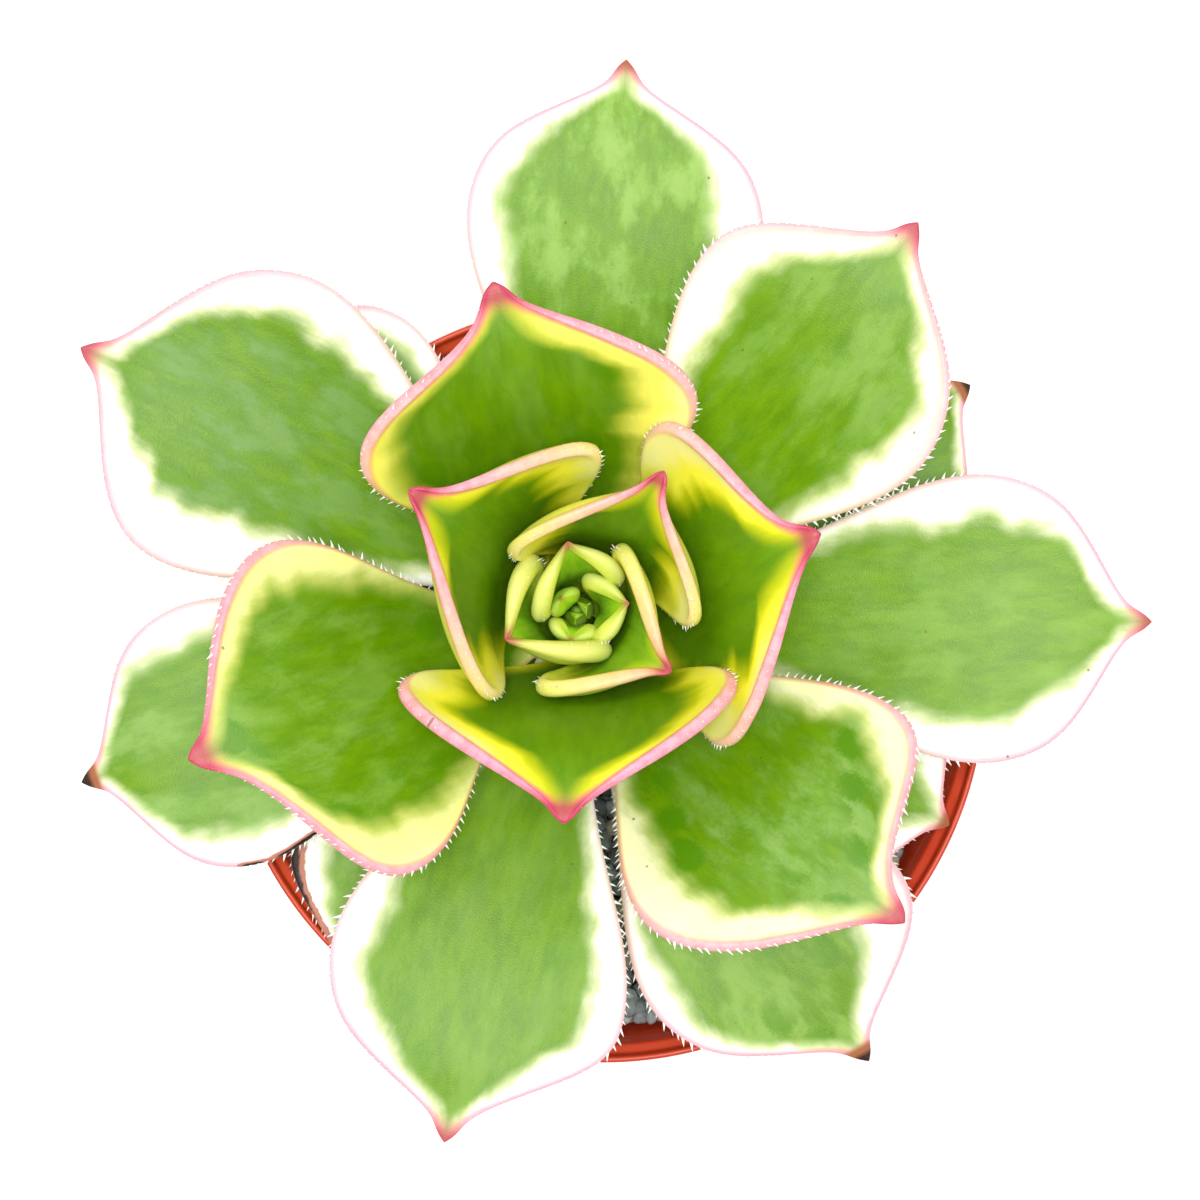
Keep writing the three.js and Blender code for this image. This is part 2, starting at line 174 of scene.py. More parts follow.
class Look:
    """A Principled material, built up from short calls that each return a socket."""

    def __init__(self, name):
        self.material = bpy.data.materials.new(name)
        self.material.use_nodes = True
        self.tree = self.material.node_tree
        self.shader = self.tree.nodes["Principled BSDF"]

    def node(self, kind, **settings):
        made = self.tree.nodes.new(kind)
        for key, value in settings.items():
            setattr(made, key, value)
        return made

    def feed(self, socket, value):
        if isinstance(value, bpy.types.NodeSocket):
            self.tree.links.new(value, socket)
        else:
            socket.default_value = value

    def set(self, **values):
        """Sets or links the shader's sockets: roughness=0.4 is the socket named Roughness."""
        for key, value in values.items():
            self.feed(self.shader.inputs[key.replace("_", " ").title().replace("Ior", "IOR")], value)

    def field(self, name):
        return self.node("ShaderNodeAttribute", attribute_name=name).outputs["Fac"]

    def spot(self, name):
        return self.node("ShaderNodeAttribute", attribute_name=name).outputs["Vector"]

    def place(self):
        return self.node("ShaderNodeTexCoord").outputs["Object"]

    def stretched(self, vector, scale):
        made = self.node("ShaderNodeVectorMath", operation="MULTIPLY")
        self.feed(made.inputs[0], vector)
        made.inputs[1].default_value = scale
        return made.outputs[0]

    def noise(self, vector, scale, detail=3.0, roughness=0.55, distortion=0.0):
        made = self.node("ShaderNodeTexNoise")
        self.feed(made.inputs["Vector"], vector)
        numbers = {"Scale": scale, "Detail": detail, "Roughness": roughness, "Distortion": distortion}
        for name, value in numbers.items():
            made.inputs[name].default_value = value
        return made.outputs["Fac"]

    def cells(self, vector, scale):
        made = self.node("ShaderNodeTexVoronoi")
        self.feed(made.inputs["Vector"], vector)
        made.inputs["Scale"].default_value = scale
        return made.outputs["Distance"]

    def sum(self, operation, a, b):
        made = self.node("ShaderNodeMath", operation=operation)
        self.feed(made.inputs[0], a)
        self.feed(made.inputs[1], b)
        return made.outputs[0]

    def times(self, a, b):
        return self.sum("MULTIPLY", a, b)

    def plus(self, a, b):
        return self.sum("ADD", a, b)

    def minus(self, a, b):
        return self.sum("SUBTRACT", a, b)

    def step(self, value, low, high):
        """0 below low, 1 above high, smooth between; low may be the larger."""
        made = self.node("ShaderNodeMapRange", interpolation_type="SMOOTHSTEP", clamp=True)
        flipped = low > high
        self.feed(made.inputs["Value"], value)
        made.inputs["From Min"].default_value = min(low, high)
        made.inputs["From Max"].default_value = max(low, high)
        made.inputs["To Min"].default_value = 1.0 if flipped else 0.0
        made.inputs["To Max"].default_value = 0.0 if flipped else 1.0
        return made.outputs["Result"]

    def mix(self, share, a, b):
        made = self.node("ShaderNodeMix", data_type="RGBA")
        self.feed(made.inputs[0], share)
        self.feed(made.inputs[6], a)
        self.feed(made.inputs[7], b)
        return made.outputs[2]

    def relief(self, height, distance, strength=1.0, under=None):
        made = self.node("ShaderNodeBump")
        self.feed(made.inputs["Height"], height)
        made.inputs["Distance"].default_value = distance
        made.inputs["Strength"].default_value = strength
        if under is not None:
            self.feed(made.inputs["Normal"], under)
        return made.outputs["Normal"]


def shade(red, green, blue):
    """A colour given as it looks on a screen, 0 to 255, in the linear values that nodes take."""
    def linear(value):
        value /= 255
        return value / 12.92 if value <= 0.04045 else ((value + 0.055) / 1.055) ** 2.4
    return (linear(red), linear(green), linear(blue), 1.0)


def leaf_look():
    look = Look("leaf_skin")
    blade = look.spot("blade")  # millimetres across and along the blade, and a shift for each leaf
    age = look.field("age")
    bud = look.field("bud")
    green = look.field("green")  # millimetres inside the edge of the green part
    rim = look.field("rim")  # millimetres from the margin
    upper = look.field("upper")

    streaks = look.noise(look.stretched(blade, (0.7, 0.22, 1.0)), 1.0, 4.0, 0.6)
    patches = look.noise(look.stretched(blade, (0.22, 0.12, 1.0)), 1.0, 5.0, 0.62, 0.15)
    blotches = look.cells(look.stretched(blade, (0.18, 0.15, 1.0)), 1.0)
    grain = look.noise(blade, 3.2, 4.0, 0.65)

    fibre = look.step(streaks, 0.3, 0.7)
    flicker = look.minus(streaks, 0.5)
    young = look.mix(fibre, shade(84, 126, 0), shade(96, 138, 0))
    old = look.mix(fibre, shade(88, 130, 0), shade(104, 144, 0))
    body = look.mix(look.step(age, 0.36, 0.68), young, old)
    # In the bud a lighter green: partly the young leaves' own colour, partly painted light that brightens the
    # heart of the rosette where it lies in shade.
    body = look.mix(bud, body, look.mix(fibre, shade(104, 156, 12), shade(136, 184, 30)))

    # Bloom: a pale green to blue-green film, thickest towards the tip, worn through in patches.
    film = look.plus(look.times(patches, 0.82), look.times(grain, 0.18))
    film = look.times(look.step(film, 0.4, 0.6), look.field("bloom"))
    frost = look.mix(look.step(patches, 0.35, 0.7), shade(108, 154, 54), shade(152, 186, 98))
    cool = look.mix(look.step(patches, 0.4, 0.62), shade(84, 128, 46), shade(116, 150, 86))
    frost = look.mix(look.field("cool"), frost, cool)
    body = look.mix(look.times(film, 0.9), body, frost)

    # Round darker spots in the green part, near its edge.
    near = look.times(look.step(green, 0.4, 1.8), look.step(green, 8.0, 4.0))
    blotches = look.plus(blotches, look.times(look.minus(grain, 0.5), 0.22))
    dark = look.times(look.step(blotches, 0.4, 0.28), near)
    body = look.mix(look.times(dark, look.field("spots")), body, shade(78, 128, 0))

    # The pale margin: yellow on young leaves, cream on old ones, fading into the green.
    uneven = look.plus(look.times(patches, 0.6), look.times(streaks, 0.4))
    uneven = look.minus(uneven, 0.5)
    sway = look.plus(2.2, look.times(look.step(age, 0.38, 0.6), 2.8))
    ragged = look.plus(green, look.times(uneven, sway))
    light = look.mix(look.step(ragged, -6.5, -3.0), shade(255, 244, 150), shade(250, 240, 66))
    yellow = look.mix(look.step(ragged, -3.0, -0.6), light, shade(204, 206, 20))
    cream = look.mix(look.step(ragged, -1.5, 0.0), shade(255, 252, 248), shade(240, 242, 196))
    pale = look.mix(look.step(age, 0.435, 0.68), yellow, cream)
    bud_pale = look.mix(look.step(ragged, -2.6, 0.0), shade(212, 224, 84), shade(160, 194, 32))
    pale = look.mix(bud, pale, bud_pale)
    skin = look.mix(look.step(ragged, -1.9, 1.7), pale, body)

    # The under side: cream on old leaves, yellower on young ones and in the bud.
    pale_below = look.mix(look.step(age, 0.52, 0.4), shade(240, 242, 168), shade(224, 226, 92))
    below = look.mix(look.step(ragged, -3.0, 2.5), pale_below, shade(124, 168, 40))
    bud_below = look.mix(look.step(ragged, -2.4, 1.0), shade(208, 216, 112), shade(146, 184, 44))
    skin = look.mix(upper, look.mix(bud, below, bud_below), skin)

    # Rose margin: broad and deep near the tip, thin, salmon and mostly on the upper face round the lobes.
    tipward = look.field("tipward")
    edge = look.plus(look.field("rose_at"), look.times(flicker, 0.5))
    band = look.times(look.step(edge, 1.4, 0.2), look.field("rose"))
    hidden = look.times(look.minus(1.0, upper), look.minus(1.0, tipward))
    fade = look.minus(1.0, look.times(hidden, 0.695))
    band = look.times(band, fade)
    deep = look.mix(look.step(rim, 1.3, 0.3), shade(236, 128, 100), shade(220, 96, 132))
    flesh = look.mix(tipward, shade(236, 146, 112), deep)
    # Painted highlight: a pale pink-white streak down the middle of the rose band, where light would glint on
    # the rounded margin.
    painted_highlight = look.noise(look.place(), 900.0, 3.0, 0.6)
    painted_highlight = look.plus(0.45, look.times(look.step(painted_highlight, 0.35, 0.65), 0.55))
    painted_highlight = look.times(painted_highlight, look.step(edge, 0.75, 0.3))
    flesh = look.mix(look.times(painted_highlight, look.field("painted_highlight")), flesh, shade(244, 196, 216))
    skin = look.mix(band, skin, flesh)

    # Rose, brown and then black towards a drying tip.
    flush = look.field("flush")
    dry = look.field("dry")
    skin = look.mix(look.times(look.step(flush, 0.05, 0.95), 0.9), skin, shade(172, 56, 80))
    skin = look.mix(look.step(dry, 0.2, 0.55), skin, shade(150, 88, 52))
    skin = look.mix(look.step(dry, 0.66, 0.95), skin, shade(48, 28, 22))

    # Dead tissue, and small dark specks.
    dead = look.plus(look.field("scorch"), look.times(flicker, 0.8))
    skin = look.mix(look.step(dead, 0.25, 0.42), skin, shade(180, 118, 100))
    skin = look.mix(look.step(dead, 0.62, 0.85), skin, shade(44, 26, 22))
    specks = look.cells(look.stretched(blade, (0.21, 0.21, 1.0)), 1.0)
    speck = look.times(look.step(specks, 0.045, 0.024), 0.7)
    skin = look.mix(speck, skin, shade(110, 80, 24))

    look.set(base_color=skin)
    gloss = look.plus(0.34, look.times(film, 0.22))
    look.set(roughness=look.plus(gloss, look.times(grain, 0.1)))
    look.set(specular_ior_level=0.25, subsurface_weight=0.12, subsurface_scale=0.0012)
    look.shader.inputs["Subsurface Radius"].default_value = (0.9, 1.0, 0.2)
    coarse = look.relief(streaks, 0.00008, 0.4)
    look.set(normal=look.relief(look.noise(blade, 5.5, 2.0, 0.5), 0.00004, 0.8, coarse))
    return look.material


def tooth_look():
    look = Look("leaf_teeth")
    place = look.noise(look.place(), 900.0, 2.0)
    look.set(base_color=look.mix(look.step(place, 0.35, 0.7), shade(250, 246, 238), shade(240, 214, 216)))
    look.set(roughness=look.plus(0.3, look.times(place, 0.2)))
    look.set(subsurface_weight=0.35, subsurface_scale=0.0008, specular_ior_level=0.5)
    return look.material


def stem_look():
    look = Look("stem_bark")
    place = look.place()
    rough = look.noise(place, 420.0, 5.0, 0.65)
    rings = look.noise(look.stretched(place, (220.0, 220.0, 1300.0)), 1.0, 3.0)
    bark = look.mix(look.step(rough, 0.35, 0.65), shade(104, 86, 52), shade(150, 140, 84))
    bark = look.mix(look.times(look.step(rings, 0.5, 0.66), 0.6), bark, shade(72, 56, 38))
    sappy = look.mix(look.step(rough, 0.35, 0.65), shade(96, 144, 12), shade(118, 164, 24))
    bark = look.mix(look.field("fresh"), bark, sappy)
    look.set(base_color=bark, roughness=look.plus(0.6, look.times(rough, 0.3)))
    look.set(normal=look.relief(look.plus(rough, rings), 0.0004, 0.8))
    return look.material


def grit_look():
    look = Look("grit_stone")
    place = look.place()
    each = look.field("each")
    mottle = look.noise(place, 1500.0, 4.0, 0.7)
    stone = look.mix(each, shade(98, 105, 108), shade(168, 174, 174))
    stone = look.mix(look.step(look.field("warm"), 0.7, 0.95), stone, shade(168, 156, 138))
    stone = look.mix(look.times(look.step(mottle, 0.5, 0.7), 0.45), stone, shade(82, 90, 94))
    look.set(base_color=stone, roughness=look.plus(0.5, look.times(mottle, 0.35)))
    look.set(normal=look.relief(mottle, 0.00012, 0.9))
    return look.material


def mix_look():
    look = Look("mix_crumb")
    place = look.place()
    crumb = look.noise(place, 700.0, 6.0, 0.7)
    fibres = look.noise(look.stretched(place, (300.0, 900.0, 300.0)), 1.0, 4.0, 0.6, 1.5)
    soil = look.mix(look.step(crumb, 0.35, 0.65), shade(34, 24, 17), shade(84, 62, 44))
    soil = look.mix(look.times(look.step(fibres, 0.62, 0.72), 0.6), soil, shade(128, 96, 62))
    look.set(base_color=soil, roughness=look.plus(0.75, look.times(crumb, 0.2)))
    look.set(normal=look.relief(crumb, 0.0009, 0.9))
    return look.material


def pot_look():
    look = Look("pot_moulding")
    place = look.place()
    cloud = look.noise(place, 38.0, 4.0, 0.6)
    fine = look.noise(place, 1400.0, 3.0, 0.6)
    scuff = look.noise(look.stretched(place, (60.0, 60.0, 900.0)), 1.0, 4.0, 0.65, 0.5)
    red = look.mix(look.step(cloud, 0.3, 0.7), shade(184, 50, 18), shade(206, 68, 30))
    red = look.mix(look.times(look.step(scuff, 0.6, 0.74), 0.35), red, shade(236, 132, 96))
    dust = look.noise(place, 160.0, 5.0, 0.7)
    red = look.mix(look.times(look.step(dust, 0.6, 0.78), 0.22), red, shade(170, 116, 86))
    look.set(base_color=red, specular_ior_level=0.45)
    look.set(roughness=look.plus(0.34, look.times(cloud, 0.22)))
    swirl = look.relief(scuff, 0.00008, 0.6)
    look.set(normal=look.relief(fine, 0.00003, 0.7, swirl))
    return look.material


def floor_look():
    look = Look("floor_board")
    place = look.place()
    cloud = look.noise(place, 9.0, 4.0)
    look.set(base_color=look.mix(cloud, shade(250, 250, 250), shade(255, 255, 255)))
    look.set(roughness=look.plus(0.55, look.times(cloud, 0.2)))
    look.set(normal=look.relief(look.noise(place, 900.0, 2.0), 0.00003, 0.5))
    return look.material


# ---- mesh tools


def mesh_object(name, corners, faces, materials, smooth=True):
    mesh = bpy.data.meshes.new(name)
    mesh.from_pydata([tuple(map(float, c)) for c in corners], [], faces)
    mesh.validate()
    mesh.polygons.foreach_set("use_smooth", [smooth] * len(mesh.polygons))
    for material in materials:
        mesh.materials.append(material)
    made = bpy.data.objects.new(name, mesh)
    bpy.context.scene.collection.objects.link(made)
    return made


def store(piece, name, values, kind="FLOAT"):
    """Keeps one number, or one vector, for each corner of a piece."""
    layer = piece.data.attributes.new(name, kind, "POINT")
    flat = np.asarray(values, np.float32).ravel()
    layer.data.foreach_set("vector" if kind == "FLOAT_VECTOR" else "value", flat)


def put(piece, slot, *nodes):
    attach(piece, "root")
    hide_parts(*nodes)
    return piece


def smooth(value, low, high):
    t = np.clip((np.asarray(value, float) - low) / (high - low), 0, 1)
    return t * t * (3 - 2 * t)


def spline(knots, values, at):
    """A natural cubic spline through values at knots, read at other places."""
    count = len(knots)
    gaps = np.diff(knots)
    values = np.asarray(values, float)
    flat = values.reshape(count, -1)
    matrix = np.eye(count)
    pull = np.zeros_like(flat)
    for i in range(1, count - 1):
        matrix[i, i - 1 : i + 2] = gaps[i - 1], 2 * (gaps[i - 1] + gaps[i]), gaps[i]
        pull[i] = 6 * ((flat[i + 1] - flat[i]) / gaps[i] - (flat[i] - flat[i - 1]) / gaps[i - 1])
    bend = np.linalg.solve(matrix, pull)
    cell = np.clip(np.searchsorted(knots, at, side="right") - 1, 0, count - 2)
    gap = gaps[cell][:, None]
    b = ((at - knots[cell]) / gaps[cell])[:, None]
    a = 1 - b
    read = a * flat[cell] + b * flat[cell + 1]
    read += ((a**3 - a) * bend[cell] + (b**3 - b) * bend[cell + 1]) * gap**2 / 6
    return read.reshape((len(at),) + values.shape[1:])


def closed_skin(rings, sides):
    """Faces over a first corner, rings of corners and a last corner."""
    faces = []
    last = 1 + (rings - 1) * sides
    for k in range(sides):
        after = (k + 1) % sides
        faces.append((0, 1 + after, 1 + k))
        for a in range(1, last, sides):
            b = a + sides
            faces.append((a + k, a + after, b + after, b + k))
        faces.append((last + k, last + after, last + sides))
    return faces


def lathe(profile, sides, wobble):
    """Corners and faces of a closed turned skin; the profile runs from the axis to the axis."""
    corners = [(0.0, 0.0, profile[0][1])]
    inner = profile[1:-1]
    for radius, z in inner:
        for k in range(sides):
            turn = 2 * math.pi * k / sides
            x, y = radius * math.cos(turn), radius * math.sin(turn)
            corners.append(wobble(x, y, z))
    corners.append((0.0, 0.0, profile[-1][1]))
    return corners, closed_skin(len(inner), sides)


def rounded(profile, radius, steps=4):
    """The profile with each inner corner drawn to a curve that starts radius before it."""
    points = [Vector(p) for p in profile]
    made = [points[0]]
    for before, corner, after in zip(points, points[1:], points[2:]):
        cut_in = min(radius, (before - corner).length * 0.45)
        cut_out = min(radius, (after - corner).length * 0.45)
        start = corner + (before - corner).normalized() * cut_in
        end = corner + (after - corner).normalized() * cut_out
        for i in range(steps + 1):
            t = i / steps
            made.append(start * (1 - t) ** 2 + corner * 2 * t * (1 - t) + end * t**2)
    made.append(points[-1])
    return [tuple(p) for p in made]


# ---- leaves


def blade_rings(node):
    """A CAD blade as rings of corners from foot to tip, and its tip. A ring starts at the left
    margin and goes over the upper face, round the right margin and back under the blade."""
    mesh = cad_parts[node].data
    every = np.array([v.co for v in mesh.vertices], float)
    spots, index = np.unique(np.round(every, 7), axis=0, return_inverse=True)
    index = index.ravel()
    near = [set() for _ in spots]
    for face in mesh.polygons:
        loop = [int(index[v]) for v in face.vertices]
        for a, b in zip(loop, loop[1:] + loop[:1]):
            near[a].add(b)
            near[b].add(a)
    stem = frame_middle("stem")
    ends = sorted(
        (i for i in range(len(spots)) if len(near[i]) == RING),
        key=lambda i: math.hypot(*(spots[i][:2] - stem)),
    )
    foot, tip = ends[0], ends[-1]
    ring = [next(iter(near[foot]))]
    level = set(near[foot])
    while len(ring) < RING:
        ring.append(next(v for v in sorted(near[ring[-1]] & level) if v not in ring))
    rings = [ring]
    seen = {foot} | level
    while True:
        level = set().union(*(near[v] for v in rings[-1])) - seen
        if tip in level:
            break
        seen |= level
        last = rings[-1]
        # The corner that two neighbours share may lie beyond either of them: distance tells which.
        shared = [near[last[k]] & near[last[(k + 1) % RING]] & level for k in range(RING)]
        after = [next(iter(s)) for s in shared]
        rings.append(aligned(spots, last, after))
    rings = orient(spots, rings, spots[tip])
    return spots[np.array(rings)], spots[tip]


def aligned(spots, last, after):
    """The next ring, turned by at most one corner so that it lies straight beyond the last one."""
    last_at = spots[last] - spots[last].mean(0)

    def misfit(turn):
        at = spots[np.roll(after, turn)]
        at = at - at.mean(0)
        scale = np.linalg.norm(last_at) / max(np.linalg.norm(at), 1e-12)
        return float(((at * scale - last_at) ** 2).sum())

    return [int(v) for v in np.roll(after, min((-1, 0, 1), key=misfit))]


def orient(spots, rings, tip):
    """Turns and, where needed, reverses every ring so that it starts at the left margin."""
    first = spots[rings[0]]
    widest = max(range(RING // 2), key=lambda k: np.linalg.norm(first[k] - first[k + RING // 2]))
    rings = [list(np.roll(ring, -widest)) for ring in rings]
    half = RING // 2
    middle = spots[rings[len(rings) // 2]]
    margins = (middle[0] + middle[half]) / 2
    hollow = np.linalg.norm(middle[half // 2] - margins)
    hollow_below = np.linalg.norm(middle[half + half // 2] - margins)
    if hollow > hollow_below:
        rings = [[ring[0]] + ring[:0:-1] for ring in rings]
        middle = spots[rings[len(rings) // 2]]
    facing = middle[half // 2] - middle[half + half // 2]
    onward = tip - spots[rings[0]].mean(0)
    left = np.cross(facing, onward)
    if np.dot(middle[0] - middle[half], left) < 0:
        # The left margin is the other one: start there and run back over the same upper face.
        rings = [[ring[(half - k) % RING] for k in range(RING)] for ring in rings]
    return [[int(v) for v in ring] for ring in rings]


def frame_middle(node):
    low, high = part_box(node)
    return np.array([(low.x + high.x) / 2, (low.y + high.y) / 2])


def across_weights(at):
    """How far each of the SPREAD places counts at other places across a blade (Lagrange)."""
    weights = np.ones((len(at), len(SPREAD)))
    for j, own in enumerate(SPREAD):
        for k, other in enumerate(SPREAD):
            if k != j:
                weights[:, j] *= (at - other) / (own - other)
    return weights


def blade_surface(node, number):
    """The smooth blade: middle surface, normal, half-thickness and places, on a grid of stations
    along the blade by points across it."""
    rings, tip = blade_rings(node)
    upper = rings[:, [2, 3, 4]]
    under = rings[:, [10, 9, 8]]
    through = np.stack([rings[:, 0], *((upper + under) / 2).transpose(1, 0, 2), rings[:, 6]], axis=1)
    through = np.concatenate([through, np.tile(tip, (1, len(SPREAD), 1))])
    foot_at = through[0, 2].copy()
    through = foot_at + (through - foot_at) * GROWN.get(number, 1.0)
    thick = np.linalg.norm(upper[:, 1] - under[:, 1], axis=1)
    thick = np.append(thick, thick[-1] * 0.5)
    walked = np.linalg.norm(np.diff(through[:, 2], axis=0), axis=1)
    knots = np.concatenate([[0], np.cumsum(walked)])
    length = knots[-1]
    knots = knots / length
    stations = int(np.clip(length / MM * STATIONS_PER_MM, FEWEST_STATIONS, MOST_STATIONS))
    along = (1 - (1 - np.linspace(0, 1, stations)) ** 1.35) * LAST_STATION
    rows = spline(knots, through, along)
    thickness = np.maximum(spline(knots, thick, along), 0.00005)

    angle = np.linspace(math.pi / 2, -math.pi / 2, FACE_POINTS)
    across = np.sin(angle)
    middle = np.einsum("uj,sjc->suc", across_weights(across), rows)
    step = 1e-3
    aside = np.einsum("uj,sjc->suc", across_weights(across + step) - across_weights(across - step), rows)
    onward = np.gradient(middle, along, axis=0)
    normal = np.cross(onward, aside)
    normal /= np.maximum(np.linalg.norm(normal, axis=2, keepdims=True), 1e-15)
    widths = np.linalg.norm(np.diff(middle, axis=1), axis=2)
    half = widths.sum(1) / 2
    return {
        "along": along,
        "across": across,
        "middle": middle,
        "normal": normal,
        "half": half,
        "thickness": thickness,
        "length": length,
        "number": number,
        "foot": rows[0, 2] - rows[1, 2],
    }


def quarter(share):
    """A quarter circle, from 0 at a margin to 1 one radius inside it."""
    return np.sqrt(np.maximum(1 - (1 - share) ** 2, 0))


def half_thickness(blade):
    """Rounded at the margins, full at the midrib."""
    along = blade["along"][:, None]
    deepest = blade["half"][:, None]
    depth = (1 - np.abs(blade["across"]))[None, :] * deepest
    half = blade["thickness"][:, None] / 2
    round_off = EDGE_SHARE * half
    edge = np.clip(depth / round_off, 0, 1)
    rim = round_off * quarter(edge)
    rise = smooth(depth / np.maximum(deepest, 1e-9), 0, 1) ** 0.8
    body = rim + (half - round_off) * rise
    lip = LIPS.get(blade["number"], 0.0) * MM
    if lip:
        lip = lip * smooth(along, 0.1, 0.4) * (1 - 0.75 * smooth(along, 0.8, 1.0))
        lip = np.minimum(lip, 0.45 * deepest) + 1e-9
        inside = np.clip(depth / lip, 0, 1)
        swell = lip * quarter(inside)
        swell *= 1 - smooth(depth / lip, 1.0, 3.6)
        body = np.sqrt(body**2 + swell**2)
    plump = PLUMP.get(blade["number"], 0.0) * MM
    if plump:
        plump = plump * smooth(along, 0.1, 0.5) * (1 - smooth(along, 0.72, 1.0) ** 1.5)
        inside = np.clip(depth / np.maximum(deepest, 1e-9), 0, 1)
        body = np.sqrt(body**2 + (plump * quarter(inside)) ** 2)
    return body, depth


def ripple(spot, number):
    """Slow unevenness of a blade, in metres."""
    at = Vector(spot) * 90 + Vector((number * 3.7, 0, number * 1.3))
    finer = Vector(spot) * 260 + Vector((0, number * 2.1, 0))
    return (noise.noise(at) + 0.35 * noise.noise(finer)) * RIPPLE * MM


def pale_width(blade, side):
    """Width of the pale margin along one side, in millimetres."""
    number = blade["number"]
    at_shoulder = PALE.get(number, YOUNGEST_PALE)[0 if side > 0 else 1]
    along = blade["along"]
    course = 0.28 + 0.72 * smooth(along, 0.3, 0.66)
    course *= 1 - 0.55 * smooth(along, 0.8, 0.97)
    wander = [noise.noise(Vector((s * 9, side * 4.0, number * 1.9))) for s in along]
    finer = [noise.noise(Vector((s * 26, side * 7.0, number * 2.7))) for s in along]
    wide = at_shoulder * course * (1 + 0.42 * np.array(wander) + 0.2 * np.array(finer))
    return np.minimum(wide, 0.66 * blade["half"] / MM + 0.2)


def youth_of(number):
    return float(smooth(number, 7.2, 14.8))


def leaf_fields(blade, depth):
    """The numbers that the leaf's material reads, each one value or a grid over the blade."""
    number = blade["number"]
    along = np.repeat(blade["along"][:, None], FACE_POINTS, axis=1)
    side = np.sign(blade["across"])[None, :]
    rim = depth / MM
    pale_left = pale_width(blade, 1)[:, None]
    pale_right = pale_width(blade, -1)[:, None]
    share = smooth(blade["across"], -0.25, 0.25)[None, :]
    green = rim - (pale_left * share + pale_right * (1 - share))
    age = 1 - (number - 1) / (len(LEAF_NODES) - 1)
    tip_near = smooth(along, 0.93 - 0.03 * youth_of(number), 1.0) ** 1.3
    midrib_near = np.exp(-((rim - blade["half"][:, None] / MM) ** 2) / 30)
    youth = youth_of(number)
    in_bud = float(smooth(number, 17.6, 20.6))
    flush = tip_near * (0.75 + 0.45 * youth) * (1 - 0.55 * in_bud)
    flush += 0.2 * smooth(along, 0.86, 0.96) * midrib_near * (0.4 + 0.6 * youth)
    dry = DRY_TIP.get(number, 0.0) * (1.25 * smooth(along, 0.935, 1.0))
    scorch = np.zeros_like(along)
    for where, middle, reach, deep in SCORCH.get(number, []):
        on_side = (side == where) * np.exp(-(((along - middle) / reach) ** 4))
        scorch = np.maximum(scorch, on_side * (1 - smooth(rim, 0, deep)))
    towards_tip = smooth(along, 0.52, 0.9)
    rose_wide = 0.72 - 0.3 * youth + (0.36 + 0.9 * youth) * towards_tip
    rose_wide = np.minimum(rose_wide, 0.55 * blade["half"][:, None] / MM + 0.1)
    on_lobe = LOBE_ROSE.get(number, 0.5 if number < 12 else 0.02)
    rosy_from = 0.55 + 0.1 * smooth(number, 16.5, 18)
    rose = on_lobe + (TIP_ROSE.get(number, 0.7) - on_lobe) * smooth(along, rosy_from, 0.93)
    rose = rose * (0.3 + 0.7 * smooth(along, 0.22, 0.55))
    # How strong the painted highlight on the rose margin is: mid-way along the blade, more on young leaves.
    painted_highlight = 0.42 * smooth(along, 0.45, 0.7) * (1 - smooth(along, 0.86, 0.96)) * (0.3 + 0.7 * youth)
    bloom = BLOOM.get(number, 0.05) * (0.35 + 0.65 * smooth(along, 0.25, 0.75))
    return {
        "green": green,
        "rim": rim,
        "age": age,
        "bud": in_bud,
        "spots": SPOTS.get(number, FEW_SPOTS),
        "bloom": bloom,
        "cool": COOL.get(number, 0.0),
        "rose": rose,
        "painted_highlight": painted_highlight,
        "tipward": smooth(along, 0.4, 0.72),
        "rose_at": rim / np.maximum(rose_wide, 0.05),
        "flush": flush,
        "dry": dry,
        "scorch": scorch,
    }


def teeth(blade, edge_at, outward):
    """Corners and faces of the soft teeth along both margins."""
    number = blade["number"]
    draw = random.Random(100 + number)
    size = 0.3 + 0.7 * float(smooth(blade["half"].max() / MM, 2, 12))
    inner = float(smooth(number, 12.5, 15.5))
    size *= 1 - 0.22 * inner
    corners, faces = [], []
    for margin in (0, 1):
        line = edge_at[margin]
        walked = np.concatenate([[0], np.cumsum(np.linalg.norm(np.diff(line, axis=0), axis=1))])

        def read(what, where):
            return np.array([np.interp(where, walked, what[:, c]) for c in range(3)])

        place = walked[-1] * TEETH_FROM
        while place < walked[-1] * TEETH_TO:
            share = place / walked[-1]
            at = read(line, place)
            ahead = read(line, place + 0.3 * MM) - at
            ahead /= max(np.linalg.norm(ahead), 1e-12)
            away = read(outward[margin], place)
            away -= ahead * np.dot(away, ahead)
            away /= max(np.linalg.norm(away), 1e-12)
            lift = np.cross(ahead, away)
            reach = TOOTH_LENGTH * size * draw.uniform(0.65, 1.2) * MM
            reach *= 0.55 + 0.45 * float(smooth(share, TEETH_FROM, 0.4))
            reach *= 1 - 0.6 * float(smooth(share, 0.8 - 0.22 * inner, 0.97 - 0.15 * inner))
            lean = math.radians(draw.uniform(*TOOTH_LEAN))
            rise = draw.uniform(-0.25, 0.35)
            heading = away * math.cos(lean) + ahead * math.sin(lean) + lift * rise
            heading /= np.linalg.norm(heading)
            add_tooth(corners, faces, at - away * TOOTH_SET * MM, heading, ahead, lift, reach)
            place += TOOTH_PITCH * (0.6 + 0.4 * size) * draw.uniform(0.72, 1.3) * MM
    return corners, faces


